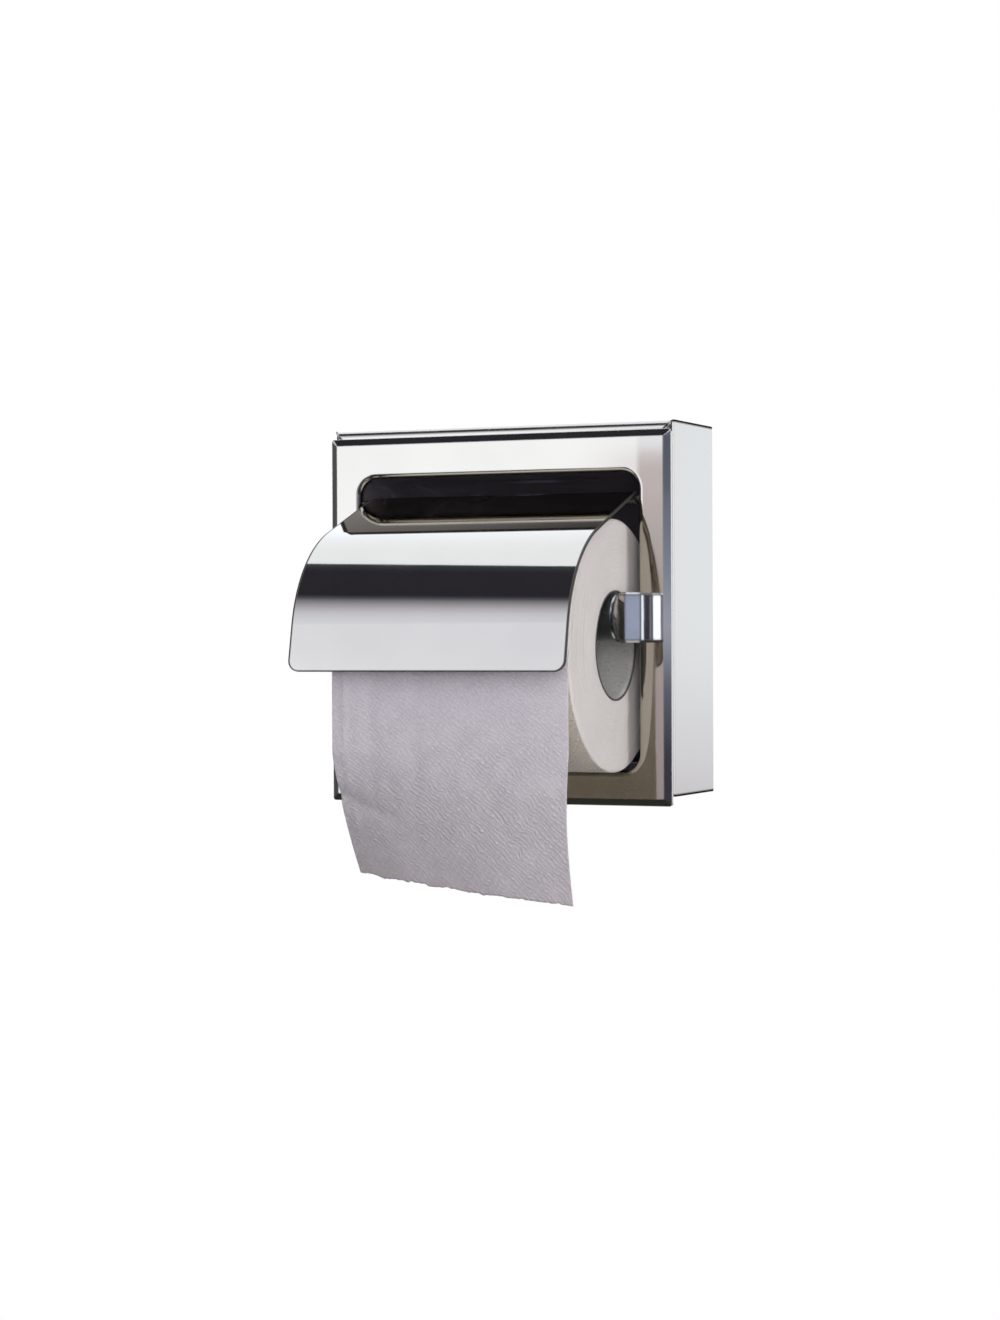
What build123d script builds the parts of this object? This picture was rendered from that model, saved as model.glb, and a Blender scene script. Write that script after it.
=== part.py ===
"""Hooded toilet paper holder: a polished pan in a wall box, with a paper roll on a sprung spindle.

Sizes are in millimetres. The wall is the plane Y = 0, the room lies towards -Y and +Z is up.
The origin is the centre of the box's back, where it meets the wall.
"""
import os
from math import acos, atan2, cos, degrees, dist, hypot, pi, radians, sin, sqrt, tan

from build123d import *

# Paper roll, which the holder is sized around
roll_radius = 52.4
roll_width = 104.0
core_radius = 21.8
core_wall = 0.9
winding_gap = 0.05

# Spindle
spindle_radius = 10.0
spindle_wall = 1.4
spindle_reach = 11.5
spindle_end_wall = 2.0
spindle_outer_length = 78.0
spindle_overlap = 28.0
spindle_slide_fit = 0.08
spindle_end_play = 0.3
spindle_edge = 0.6
tip_radius = 4.0
tip_length = 6.0
tip_round = 1.5
hang_gap = 0.3

# Spring between the spindle's halves
spring_wire_radius = 0.6
spring_radius = 7.5
spring_turns = 8
spring_end_gap = 0.15

# Room around the roll
roll_side_room = 12.0
roll_right_gap = 1.7
roll_back_room = 6.1
roll_entry_room = 1.38

# Front pan: a bevelled plate with a turned-back rim and a drawn recess
plate_margin = 11.0
plate_top_margin = 14.2
plate_bevel = 3.0
plate_bevel_depth = 1.4
plate_rim = 1.6
plate_corner = 0.4
plate_rim_corner = 1.2
pan_sheet = 0.8
pan_bend = 1.2
recess_corner = 7.5
recess_straight = 5.0

# Mounting box
box_sheet = 1.0
box_bend = 3.2
box_back_bend = 1.6
lip_slit = 0.6
pan_slack = 3.9
wall_hole_radius = 2.5
wall_hole_inset = 23.0

# Hinge rod and hood
rod_radius = 1.5
rod_fit = 0.08
rod_overhang = 2.8
retainer_radius = 3.4
retainer_length = 2.2
retainer_round = 0.8
hinge_below_recess = 10.9
hinge_behind_face = 6.5
hood_sheet = 1.0
hood_side_gap = 3.0
hood_rest_gap = 0.3
hood_run_on = 7.1
hood_tightening = 1.4
hood_turn = 58.0
hood_flap = 19.6
hood_corner = 4.8
curl_turn = 270.0

# Posts that carry the spindle
post_overhang = 1.0
post_edge_gap = 0.6
post_height = 20.6
post_nose = 0.7
post_front_fall = 2.2
post_inner_bevel = 3.4
post_inner_bevel_depth = 1.3
post_flare = 2.2
post_flare_height = 5.0
post_splay = 0.55
post_end_bevel = 1.0
foot_gap = 0.2
foot_height = 3.0
boss_radius = 10.0
boss_height = 2.5
boss_round = 0.7
socket_fit = 0.3
socket_end_gap = 1.0

# Screws
screw_fit = 0.05
screw_hole_gap = 0.2
post_screw_radius = 1.75
post_screw_pitch = 11.0
post_screw_grip = 7.5
post_screw_head_radius = 3.0
post_screw_head_height = 1.8
post_screw_key = 1.25
post_screw_key_depth = 1.1
standoff_length = 4.2
standoff_radius = 4.0
standoff_inset = 19.0
pan_screw_radius = 2.0
pan_screw_end_gap = 0.3
pan_screw_head_radius = 4.0
pan_screw_head_height = 2.6
pan_screw_head_round = 1.2
pan_screw_slot_width = 1.0
pan_screw_slot_depth = 1.2
washer_radius = 4.6
washer_thickness = 1.0

# Hanging sheet
sheet_thickness = 0.4
sheet_gap = 0.3
sheet_wrap = 35.0
sheet_straight = 42.5
sheet_free = 57.0
sheet_slant = 5.0
sheet_left_swing = 26.0
sheet_middle_swing = 9.0
sheet_right_swing = 5.0
sheet_bulge = 3.0
sheet_left_power = 1.35
sheet_right_power = 2.0
sheet_sections = 4

# Depths are distances from the wall
pan_floor_depth = box_sheet + standoff_length + pan_sheet
axis_depth = pan_floor_depth + roll_back_room + roll_radius
face_depth = axis_depth - spindle_reach
rim_depth = face_depth - plate_bevel_depth
box_depth = rim_depth - plate_rim
recess_depth = face_depth - pan_floor_depth
recess_round = recess_depth - recess_straight

# Roll, recess and plate
roll_drop = core_radius - spindle_radius - hang_gap
roll_entry = sqrt(roll_radius**2 - spindle_reach**2)
recess_width = roll_width + 2 * roll_side_room
recess_below = roll_drop + roll_entry + roll_entry_room
recess_above = recess_below + plate_margin - plate_top_margin
recess_height = recess_below + recess_above
mouth_round = pan_bend + pan_sheet
drawn_width = recess_width + 2 * pan_sheet
flat_width = recess_width + 2 * plate_margin
flat_height = 2 * (recess_below + plate_margin)
plate_width = flat_width + 2 * plate_bevel
plate_height = flat_height + 2 * plate_bevel
bevel_angle = atan2(plate_bevel_depth, plate_bevel)
flat_step = pan_sheet * tan(bevel_angle / 2)
rim_step = pan_sheet * tan(pi / 4 - bevel_angle / 2)

# The pan rests on the lower lip of the box, so it hangs lower by its slack
mouth_width = drawn_width + 2 * pan_slack
mouth_height = 2 * (recess_below + pan_sheet + pan_slack)
pan_z = -pan_slack
recess_z = pan_z + (recess_above - recess_below) / 2
roll_z = pan_z - roll_drop

# Posts, bosses and spindle along X
post_inner = recess_width / 2 - post_overhang
post_outer = recess_width / 2 + plate_margin - post_edge_gap
post_front_depth = axis_depth + boss_radius + post_nose
post_corner_depth = post_front_depth - post_front_fall
foot_inner = recess_width / 2 + mouth_round + foot_gap
post_waist = post_outer - post_flare
post_centre = (foot_inner + post_waist) / 2
boss_face = post_inner - boss_height
spindle_end = boss_face - spindle_end_play
socket_depth = spindle_end_play + tip_length + socket_end_gap
spindle_bore = spindle_radius - spindle_wall
spindle_outer_mouth = spindle_end - spindle_outer_length
spindle_inner_mouth = spindle_outer_mouth + spindle_overlap
roll_right = boss_face - roll_right_gap
roll_left = roll_right - roll_width
standoff_x = recess_width / 2 - standoff_inset

# Hood: its flat lies on the roll, which sets how far it slopes down from the hinge
hinge_depth = face_depth - hinge_behind_face
hinge_z = pan_z + recess_above - hinge_below_recess
curl_radius = rod_radius + rod_fit
rod_length = drawn_width + 2 * rod_overhang
hinge_ahead = axis_depth - hinge_depth
hinge_above = hinge_z - roll_z
hinge_to_roll = hypot(hinge_ahead, hinge_above)
flat_lift = roll_radius + hood_rest_gap - curl_radius
hood_slope = degrees(acos(flat_lift / hinge_to_roll) - atan2(hinge_ahead, hinge_above))
hood_touch = sqrt(hinge_to_roll**2 - flat_lift**2)
hood_width = recess_width - 2 * hood_side_gap


def front_plane(depth, height=0.0):
    """Plane at a distance from the wall that faces the room."""
    return Plane(origin=(0, -depth, height), x_dir=(1, 0, 0), z_dir=(0, -1, 0))


def across_plane(x, depth, height, direction=1):
    """Plane square to X, facing right, or left for a direction of -1."""
    return Plane(origin=(x, -depth, height), x_dir=(0, direction, 0), z_dir=(direction, 0, 0))


def write(piece, name):
    """Label a finished piece and write it to its own file."""
    piece.part.label = name
    export_step(piece.part, f"parts/{name}.step")


os.makedirs("parts", exist_ok=True)

# Mounting box: folded sheet with lips turned in round the open front, slit at each mitre
def box_form(inset):
    """Solid block with bends that meet in mitres, drawn in from the box's outside on all sides."""
    form_depth = box_depth - 2 * inset
    with BuildPart() as form:
        with BuildSketch(across_plane(0, box_depth / 2, 0)) as section:
            Rectangle(form_depth, plate_height - 2 * inset)
            corners = section.vertices().sort_by(Axis.X)
            fillet(corners[:2], box_bend - inset)
            fillet(corners[2:], box_back_bend - inset)
        extrude(amount=plate_width / 2 - inset, both=True)
        with BuildSketch(Plane(origin=(0, -box_depth / 2, 0))) as section:
            Rectangle(plate_width - 2 * inset, form_depth)
            corners = section.vertices().sort_by(Axis.Y)
            fillet(corners[:2], box_bend - inset)
            fillet(corners[2:], box_back_bend - inset)
        extrude(amount=plate_height / 2 - inset, both=True, mode=Mode.INTERSECT)
    return form.part


lip_width = (plate_width - mouth_width) / 2
with BuildPart() as mounting_box:
    add(box_form(0))
    add(box_form(box_sheet), mode=Mode.SUBTRACT)
    with BuildSketch(front_plane(box_depth)):
        Rectangle(mouth_width, mouth_height)
        for corner_x, corner_z in ((1, 1), (1, -1), (-1, 1), (-1, -1)):
            mitre_x = corner_x * (mouth_width + lip_width) / 2
            mitre_z = corner_z * (mouth_height + lip_width) / 2
            with Locations((mitre_x, mitre_z)):
                Rectangle(lip_width * sqrt(2) + lip_slit, lip_slit, rotation=45 * corner_x * corner_z)
    extrude(amount=-box_sheet, mode=Mode.SUBTRACT)
    with Locations(front_plane(box_sheet)):
        with GridLocations(plate_width - 2 * wall_hole_inset, plate_height - 2 * wall_hole_inset, 2, 2):
            Hole(wall_hole_radius, depth=box_sheet)
write(mounting_box, "mounting_box")

# Standoffs on the back of the box, which take the pan's screws
for side, side_name in ((-1, "left"), (1, "right")):
    with BuildPart() as standoff:
        with BuildSketch(Plane(origin=(side * standoff_x, -box_sheet, pan_z), z_dir=(0, -1, 0))):
            RegularPolygon(standoff_radius, 6)
            Circle(pan_screw_radius + screw_fit, mode=Mode.SUBTRACT)
        extrude(amount=standoff_length)
    write(standoff, f"{side_name}_standoff")

# Recess: drawn in a wide sweep from its top over the back to its bottom, with rounded ends
def recess_form(skin):
    """Solid that fills the recess, grown by a skin on all sides but the open front."""
    with BuildPart() as form:
        with BuildSketch(across_plane(0, face_depth, recess_z)) as section:
            Rectangle(recess_depth + skin, recess_height + 2 * skin, align=(Align.MIN, Align.CENTER))
            fillet(section.vertices().sort_by(Axis.X)[-2:], recess_round + skin)
        extrude(amount=recess_width / 2 + skin, both=True)
        end_edges = form.faces().filter_by(Axis.X).edges().sort_by(Axis.Y)
        fillet(end_edges[2:], recess_corner + skin)
    return form.part


recess_space = recess_form(0)
recess_outside = recess_form(pan_sheet)

def plate_form(rim_inset, flat_inset, rim_front, flat_front):
    """Solid block with a straight rim and a bevel that leads to its flat front."""
    rim_size = (plate_width - 2 * rim_inset, plate_height - 2 * rim_inset)
    rim_corner = plate_rim_corner - rim_inset
    flat_size = (flat_width - 2 * flat_inset, flat_height - 2 * flat_inset)
    with BuildPart() as form:
        with BuildSketch(front_plane(box_depth, pan_z)):
            RectangleRounded(*rim_size, rim_corner)
        extrude(amount=rim_front - box_depth)
        with BuildSketch(front_plane(rim_front, pan_z)):
            RectangleRounded(*rim_size, rim_corner)
        with BuildSketch(front_plane(flat_front, pan_z)):
            RectangleRounded(*flat_size, plate_corner - flat_inset)
        loft()
    return form.part


plate_outside = plate_form(0, 0, rim_depth, face_depth)
plate_inside = plate_form(pan_sheet, flat_step, rim_depth - rim_step, face_depth - pan_sheet)

# Front pan: rimmed and bevelled plate, drawn recess, and the holes for rod, posts and screws
with BuildPart() as front_pan:
    add(plate_outside)
    add(plate_inside, mode=Mode.SUBTRACT)
    add(recess_outside)
    flat_faces = front_pan.faces().filter_by(GeomType.PLANE).filter_by(Axis.Y).sort_by(Axis.Y)
    fillet(flat_faces[1].inner_wires()[0].edges(), pan_bend)
    add(recess_space, mode=Mode.SUBTRACT)
    flat_faces = front_pan.faces().filter_by(GeomType.PLANE).filter_by(Axis.Y).sort_by(Axis.Y)
    fillet(flat_faces[0].inner_wires()[0].edges(), mouth_round)
    with Locations((0, -hinge_depth, hinge_z)):
        Cylinder(rod_radius + rod_fit, rod_length, rotation=(0, 90, 0), mode=Mode.SUBTRACT)
    with Locations(front_plane(face_depth, pan_z)):
        with GridLocations(2 * post_centre, post_screw_pitch, 2, 2):
            Hole(post_screw_radius + screw_hole_gap, depth=pan_sheet)
    with Locations(front_plane(pan_floor_depth, pan_z)):
        with GridLocations(2 * standoff_x, 0, 2, 1):
            Hole(pan_screw_radius + screw_hole_gap, depth=pan_sheet)
write(front_pan, "front_pan")

# Screws and washers that hold the pan to the standoffs
for side, side_name in ((-1, "left"), (1, "right")):
    floor_plane = Plane(origin=(side * standoff_x, -pan_floor_depth, pan_z), z_dir=(0, -1, 0))
    head_plane = floor_plane.offset(washer_thickness)
    with BuildPart() as pan_washer:
        with BuildSketch(floor_plane):
            Circle(washer_radius)
            Circle(pan_screw_radius + screw_fit, mode=Mode.SUBTRACT)
        extrude(amount=washer_thickness)
    write(pan_washer, f"{side_name}_pan_washer")
    with BuildPart() as pan_screw:
        with BuildSketch(head_plane):
            Circle(pan_screw_head_radius)
        extrude(amount=pan_screw_head_height)
        fillet(pan_screw.faces().sort_by(Axis.Y)[0].edges(), pan_screw_head_round)
        with BuildSketch(head_plane.offset(pan_screw_head_height)):
            Rectangle(2 * pan_screw_head_radius, pan_screw_slot_width)
        extrude(amount=-pan_screw_slot_depth, mode=Mode.SUBTRACT)
        with BuildSketch(head_plane):
            Circle(pan_screw_radius)
        extrude(amount=pan_screw_end_gap - washer_thickness - pan_sheet - standoff_length)
    write(pan_screw, f"{side_name}_pan_screw")

# Hinge rod across the recess, and the push-on retainer at each end of it
with BuildPart() as hinge_rod:
    with BuildSketch(across_plane(0, hinge_depth, hinge_z)):
        Circle(rod_radius)
    extrude(amount=rod_length / 2, both=True)
write(hinge_rod, "hinge_rod")

for side, side_name in ((-1, "left"), (1, "right")):
    with BuildPart() as retainer:
        with BuildSketch(across_plane(side * drawn_width / 2, hinge_depth, hinge_z, side)):
            Circle(retainer_radius)
        extrude(amount=retainer_length)
        fillet(retainer.edges().sort_by(lambda edge: side * edge.center().X)[-1], retainer_round)
        retainer_end = side * (drawn_width / 2 + retainer_length)
        with Locations(across_plane(retainer_end, hinge_depth, hinge_z, side)):
            Hole(rod_radius + screw_fit, depth=retainer_length)
    write(retainer, f"{side_name}_rod_retainer")

# Hood: one sheet curled round the rod, a flat that rests on the roll, a large bend and a flap
def hood_line(lift):
    """Draw the hood's profile at a lift above its lower face, and give its two ends."""
    curl_start = 90 + hood_slope - curl_turn
    curl = CenterArc((-hinge_depth, hinge_z), curl_radius + lift, curl_start, curl_turn)
    flat = PolarLine(curl @ 1, hood_touch + hood_run_on, 180 + hood_slope)
    bend = JernArc(flat @ 1, flat % 1, roll_radius - hood_tightening + lift, hood_turn)
    flap = PolarLine(bend @ 1, hood_flap, 180 + hood_slope + hood_turn)
    return curl @ 0, flap @ 1


with BuildPart() as hood:
    with BuildSketch(Plane.YZ):
        with BuildLine():
            for lower_end, upper_end in zip(hood_line(0), hood_line(hood_sheet)):
                Line(lower_end, upper_end)
        make_face()
    extrude(amount=hood_width / 2, both=True)
    flap_end = hood.faces().sort_by(Axis.Z)[0]
    fillet(flap_end.edges().sort_by(SortBy.LENGTH)[:2], hood_corner)
write(hood, "hood")

# Posts: bevelled blocks on the plate's margins, each with a round boss and a socket for the spindle
for side, side_name in ((-1, "left"), (1, "right")):
    with BuildPart() as post:
        with BuildSketch(Plane.XY.offset(pan_z - post_height / 2)):
            with BuildLine():
                Polyline(
                    (side * foot_inner, -face_depth),
                    (side * post_outer, -face_depth),
                    (side * post_waist, -face_depth - post_flare_height),
                    (side * (post_waist + post_splay), -post_corner_depth),
                    (side * (post_inner + post_inner_bevel), -post_front_depth),
                    (side * post_inner, post_inner_bevel_depth - post_front_depth),
                    (side * post_inner, -face_depth - foot_height),
                    close=True,
                )
            make_face()
        extrude(amount=post_height)
        end_faces = post.faces().filter_by(Axis.Z)
        chamfer(end_faces.edges().sort_by(Axis.Y)[:-2], post_end_bevel)
        boss_plane = across_plane(side * post_inner, axis_depth, pan_z, -side)
        with BuildSketch(boss_plane):
            Circle(boss_radius)
        extrude(amount=boss_height)
        boss_end = post.faces().sort_by(lambda face: side * face.center().X)[0]
        fillet(boss_end.edges(), boss_round)
        with Locations(boss_plane.offset(boss_height)):
            Hole(tip_radius + socket_fit, depth=socket_depth)
        foot_centre = (side * post_centre, -face_depth, pan_z)
        with Locations(Plane(origin=foot_centre, x_dir=(1, 0, 0), z_dir=(0, 1, 0))):
            with GridLocations(0, post_screw_pitch, 1, 2):
                Hole(post_screw_radius + screw_fit, depth=post_screw_grip + screw_hole_gap)
    write(post, f"{side_name}_post")

# Low-headed screws that hold each post from behind the plate
for side, side_name in ((-1, "left"), (1, "right")):
    for level, level_name in ((1, "upper"), (-1, "lower")):
        screw_z = pan_z + level * post_screw_pitch / 2
        back_point = (side * post_centre, pan_sheet - face_depth, screw_z)
        head_plane = Plane(origin=back_point, x_dir=(1, 0, 0), z_dir=(0, 1, 0))
        with BuildPart() as post_screw:
            with BuildSketch(head_plane):
                Circle(post_screw_head_radius)
            extrude(amount=post_screw_head_height)
            with BuildSketch(head_plane):
                Circle(post_screw_radius)
            extrude(amount=-pan_sheet - post_screw_grip)
            with BuildSketch(head_plane.offset(post_screw_head_height)):
                RegularPolygon(post_screw_key, 6)
            extrude(amount=-post_screw_key_depth, mode=Mode.SUBTRACT)
        write(post_screw, f"{side_name}_post_{level_name}_screw")

# Spindle: two turned halves, each closed at its end with a tip that sits in a boss
spindle_plane = front_plane(axis_depth, pan_z)
spindle_axis = Axis((0, -axis_depth, pan_z), (1, 0, 0))
with BuildPart() as spindle_outer:
    with BuildSketch(spindle_plane):
        with BuildLine():
            Polyline(
                (spindle_outer_mouth, spindle_bore),
                (spindle_outer_mouth, spindle_radius),
                (spindle_end, spindle_radius),
                (spindle_end, tip_radius),
                (spindle_end + tip_length, tip_radius),
                (spindle_end + tip_length, 0),
                (spindle_end - spindle_end_wall, 0),
                (spindle_end - spindle_end_wall, spindle_bore),
                close=True,
            )
        make_face()
    revolve(axis=spindle_axis)
    fillet(spindle_outer.edges().sort_by(Axis.X)[-1], tip_round)
    rims = spindle_outer.edges().filter_by(GeomType.CIRCLE)
    chamfer(rims.group_by(SortBy.RADIUS)[-1], spindle_edge)
write(spindle_outer, "spindle_outer")

spindle_inner_radius = spindle_bore - spindle_slide_fit
with BuildPart() as spindle_inner:
    with BuildSketch(spindle_plane):
        with BuildLine():
            Polyline(
                (spindle_inner_mouth, spindle_inner_radius - spindle_wall),
                (spindle_inner_mouth, spindle_inner_radius),
                (-spindle_end, spindle_inner_radius),
                (-spindle_end, tip_radius),
                (-spindle_end - tip_length, tip_radius),
                (-spindle_end - tip_length, 0),
                (spindle_end_wall - spindle_end, 0),
                (spindle_end_wall - spindle_end, spindle_inner_radius - spindle_wall),
                close=True,
            )
        make_face()
    revolve(axis=spindle_axis)
    fillet(spindle_inner.edges().sort_by(Axis.X)[0], tip_round)
    rims = spindle_inner.edges().filter_by(GeomType.CIRCLE)
    chamfer(rims.group_by(SortBy.RADIUS)[-1].sort_by(Axis.X)[0], spindle_edge)
write(spindle_inner, "spindle_inner")

# Spring: one wire in even turns inside the outer half, from the inner half's mouth to the end wall
spring_start = spindle_inner_mouth + spring_wire_radius + spring_end_gap
spring_finish = spindle_end - spindle_end_wall - spring_wire_radius - spring_end_gap
spring_pitch = (spring_finish - spring_start) / spring_turns


def spring_point(turns):
    """Point on the wire's centre line after a number of turns."""
    angle = 2 * pi * turns
    across = spring_radius * cos(angle) - axis_depth
    return Vector(spring_start + spring_pitch * turns, across, pan_z + spring_radius * sin(angle))


def spring_direction(turns):
    """Direction of the wire after a number of turns."""
    angle = 2 * pi * turns
    along = spring_pitch / (2 * pi)
    return Vector(along, -spring_radius * sin(angle), spring_radius * cos(angle)).normalized()


def add_half_turn(before):
    """Two arcs that meet smoothly and carry the wire through half a turn."""
    after = before + 0.5
    start = spring_point(before)
    end = spring_point(after)
    start_direction = spring_direction(before)
    end_direction = spring_direction(after)
    chord = end - start
    directions = start_direction + end_direction
    spread = 2 * (1 - start_direction.dot(end_direction))
    reach = chord.dot(directions)
    arm = (sqrt(reach**2 + spread * chord.dot(chord)) - reach) / spread
    first_corner = start + start_direction * arm
    last_corner = end - end_direction * arm
    middle = (first_corner + last_corner) * 0.5
    TangentArc(start, middle, tangent=start_direction)
    TangentArc(middle, end, tangent=last_corner - first_corner)


with BuildPart() as spindle_spring:
    with BuildLine():
        for half_turn in range(2 * spring_turns):
            add_half_turn(half_turn / 2)
    with BuildSketch(Plane(origin=spring_point(0), z_dir=spring_direction(0))):
        Circle(spring_wire_radius)
    sweep()
write(spindle_spring, "spindle_spring")

points_per_turn = 24
wire_steps = range(spring_turns * points_per_turn + 1)
wire_points = [tuple(spring_point(step / points_per_turn)) for step in wire_steps]
half_turn_steps = points_per_turn // 2
least_spacing = min(
    dist(here, there)
    for index, here in enumerate(wire_points)
    for there in wire_points[index + half_turn_steps:]
)
print(f"least gap between the spring's turns: {least_spacing - 2 * spring_wire_radius:.2f} mm")

# Paper roll on its cardboard core, hanging on the spindle
with BuildPart() as core_tube:
    with BuildSketch(across_plane(roll_left, axis_depth, roll_z)):
        Circle(core_radius + core_wall)
        Circle(core_radius, mode=Mode.SUBTRACT)
    extrude(amount=roll_width)
write(core_tube, "core_tube")

with BuildPart() as paper_roll:
    with BuildSketch(across_plane(roll_left, axis_depth, roll_z)):
        Circle(roll_radius)
        Circle(core_radius + core_wall + winding_gap, mode=Mode.SUBTRACT)
    extrude(amount=roll_width)
write(paper_roll, "paper_roll")

# Hanging sheet: it leaves the front of the roll, hangs straight, then its lower left swings back
sheet_inner_radius = roll_radius + sheet_gap
sheet_front_depth = axis_depth + sheet_inner_radius + sheet_thickness
roll_middle = (roll_left + roll_right) / 2


def sheet_line(lift):
    """Draw the sheet's run round the roll and straight down at a lift, and give its two ends."""
    wrap = CenterArc((-axis_depth, roll_z), sheet_inner_radius + lift, 180 - sheet_wrap, sheet_wrap)
    fall_line = PolarLine(wrap @ 1, sheet_straight, -90)
    return wrap @ 0, fall_line @ 1


with BuildPart() as paper_sheet:
    with BuildSketch(across_plane(roll_left, 0, 0)):
        with BuildLine():
            for lower_end, upper_end in zip(sheet_line(0), sheet_line(sheet_thickness)):
                Line(lower_end, upper_end)
        make_face()
    extrude(amount=roll_width)
    for section in range(sheet_sections):
        fall = section / (sheet_sections - 1)
        tilt = radians(sheet_slant * fall)
        section_origin = (roll_middle, -sheet_front_depth, roll_z - sheet_straight - sheet_free * fall)
        section_plane = Plane(
            origin=section_origin, x_dir=(cos(tilt), 0, -sin(tilt)), z_dir=(sin(tilt), 0, cos(tilt))
        )
        left = (-roll_width / 2, sheet_left_swing * fall**sheet_left_power)
        middle = (0, sheet_middle_swing * fall**sheet_right_power)
        right_swing = sheet_right_swing * fall**sheet_right_power - sheet_bulge * sin(pi * fall)
        right = (roll_width / 2, right_swing)
        with BuildSketch(section_plane):
            with BuildLine():
                if section == 0:
                    Line(left, right)
                    Line((right[0], right[1] + sheet_thickness), (left[0], left[1] + sheet_thickness))
                else:
                    ThreePointArc(left, middle, right)
                    ThreePointArc(
                        (right[0], right[1] + sheet_thickness),
                        (middle[0], middle[1] + sheet_thickness),
                        (left[0], left[1] + sheet_thickness),
                    )
                Line(left, (left[0], left[1] + sheet_thickness))
                Line(right, (right[0], right[1] + sheet_thickness))
            make_face()
    loft()
write(paper_sheet, "paper_sheet")
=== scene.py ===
from math import cos, exp, hypot, pi, radians, sin

import bpy
from mathutils import Matrix, Vector, noise


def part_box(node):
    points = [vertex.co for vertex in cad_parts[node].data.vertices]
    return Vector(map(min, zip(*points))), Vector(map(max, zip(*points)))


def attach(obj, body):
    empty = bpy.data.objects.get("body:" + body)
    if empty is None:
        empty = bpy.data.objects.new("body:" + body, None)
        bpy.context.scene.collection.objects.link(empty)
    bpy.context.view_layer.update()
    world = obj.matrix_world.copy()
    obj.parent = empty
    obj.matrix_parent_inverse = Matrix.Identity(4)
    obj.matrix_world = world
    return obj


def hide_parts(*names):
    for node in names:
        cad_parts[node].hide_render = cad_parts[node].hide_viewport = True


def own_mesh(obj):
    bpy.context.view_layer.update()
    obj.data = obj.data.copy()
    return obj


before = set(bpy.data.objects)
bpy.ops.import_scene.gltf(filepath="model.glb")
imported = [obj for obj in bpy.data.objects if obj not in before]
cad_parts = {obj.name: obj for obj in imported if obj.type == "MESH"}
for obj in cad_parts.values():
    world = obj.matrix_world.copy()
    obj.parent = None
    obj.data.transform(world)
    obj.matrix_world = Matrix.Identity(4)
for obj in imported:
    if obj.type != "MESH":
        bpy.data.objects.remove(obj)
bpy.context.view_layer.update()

MM = 0.001


def box_mm(node_name):
    """A node's lowest and highest corners in millimetres."""
    return [Vector(corner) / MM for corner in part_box(node_name)]


# The paper's sizes in millimetres, most of them from the frame

roll_low, roll_high = box_mm("paper_roll")
core_low, core_high = box_mm("core_tube")
ROLL_AXIS = ((roll_low.y + roll_high.y) / 2, (roll_low.z + roll_high.z) / 2)
ROLL_LEFT = roll_low.x
ROLL_WIDTH = roll_high.x - roll_low.x
ROLL_RADIUS = (roll_high.z - roll_low.z) / 2
CORE_WALL = 0.9
CORE_OUTER = (core_high.z - core_low.z) / 2
CORE_INNER = CORE_OUTER - CORE_WALL
SHEET_MIDDLE = ROLL_LEFT + ROLL_WIDTH / 2
HALF_WIDTH = ROLL_WIDTH / 2


# Material helpers; materials work in metres

def node(tree, kind, inputs=None, **settings):
    """Add a node, set its options, and link or set its inputs."""
    made = tree.nodes.new(kind)
    for name, value in settings.items():
        setattr(made, name, value)
    for name, value in (inputs or {}).items():
        if isinstance(value, bpy.types.NodeSocket):
            tree.links.new(value, made.inputs[name])
        else:
            made.inputs[name].default_value = value
    return made


def blank(name):
    """Empty node tree of the material of this name, made if it isn't there yet."""
    material = bpy.data.materials.get(name) or bpy.data.materials.new(name)
    material.use_nodes = True
    material.node_tree.nodes.clear()
    return material.node_tree


def output(tree, surface):
    """Connect a shader to the material's output."""
    node(tree, "ShaderNodeOutputMaterial", {"Surface": surface})


def place(tree, scale=(1, 1, 1), source="Object"):
    """Texture place, stretched by a scale along each axis."""
    coordinates = node(tree, "ShaderNodeTexCoord")
    mapping = node(tree, "ShaderNodeMapping", {"Vector": coordinates.outputs[source], "Scale": scale})
    return mapping.outputs["Vector"]


def axes(tree, vector):
    """X, Y and Z of a place."""
    return node(tree, "ShaderNodeSeparateXYZ", {"Vector": vector}).outputs


def cloud(tree, scale, stretch=(1, 1, 1), detail=3.0, source="Object"):
    """Noise from 0 to 1."""
    inputs = {"Vector": place(tree, stretch, source), "Scale": scale, "Detail": detail}
    return node(tree, "ShaderNodeTexNoise", inputs).outputs["Fac"]


def spread(tree, value, low, high, from_low=0.3, from_high=0.7):
    """Map a value to a range; without limits of its own, the value is taken to be a cloud's."""
    inputs = {"Value": value, "From Min": from_low, "From Max": from_high, "To Min": low, "To Max": high}
    return node(tree, "ShaderNodeMapRange", inputs).outputs["Result"]


def blend(tree, amount, first, second):
    """Mix two colours."""
    made = node(tree, "ShaderNodeMix", data_type="RGBA")
    for socket, value in zip((made.inputs[0], made.inputs[6], made.inputs[7]), (amount, first, second)):
        if isinstance(value, bpy.types.NodeSocket):
            tree.links.new(value, socket)
        else:
            socket.default_value = value
    return made.outputs[2]


def either(tree, amount, first, second):
    """Mix two shaders."""
    mixed = node(tree, "ShaderNodeMixShader", {"Fac": amount})
    tree.links.new(first, mixed.inputs[1])
    tree.links.new(second, mixed.inputs[2])
    return mixed.outputs["Shader"]


def maths(tree, operation, first, second=0.0):
    """One operation on a value, or on two."""
    return node(tree, "ShaderNodeMath", {0: first, 1: second}, operation=operation).outputs[0]


def within(tree, value, low, high):
    """A value kept between two limits."""
    return maths(tree, "MINIMUM", maths(tree, "MAXIMUM", value, low), high)


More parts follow.
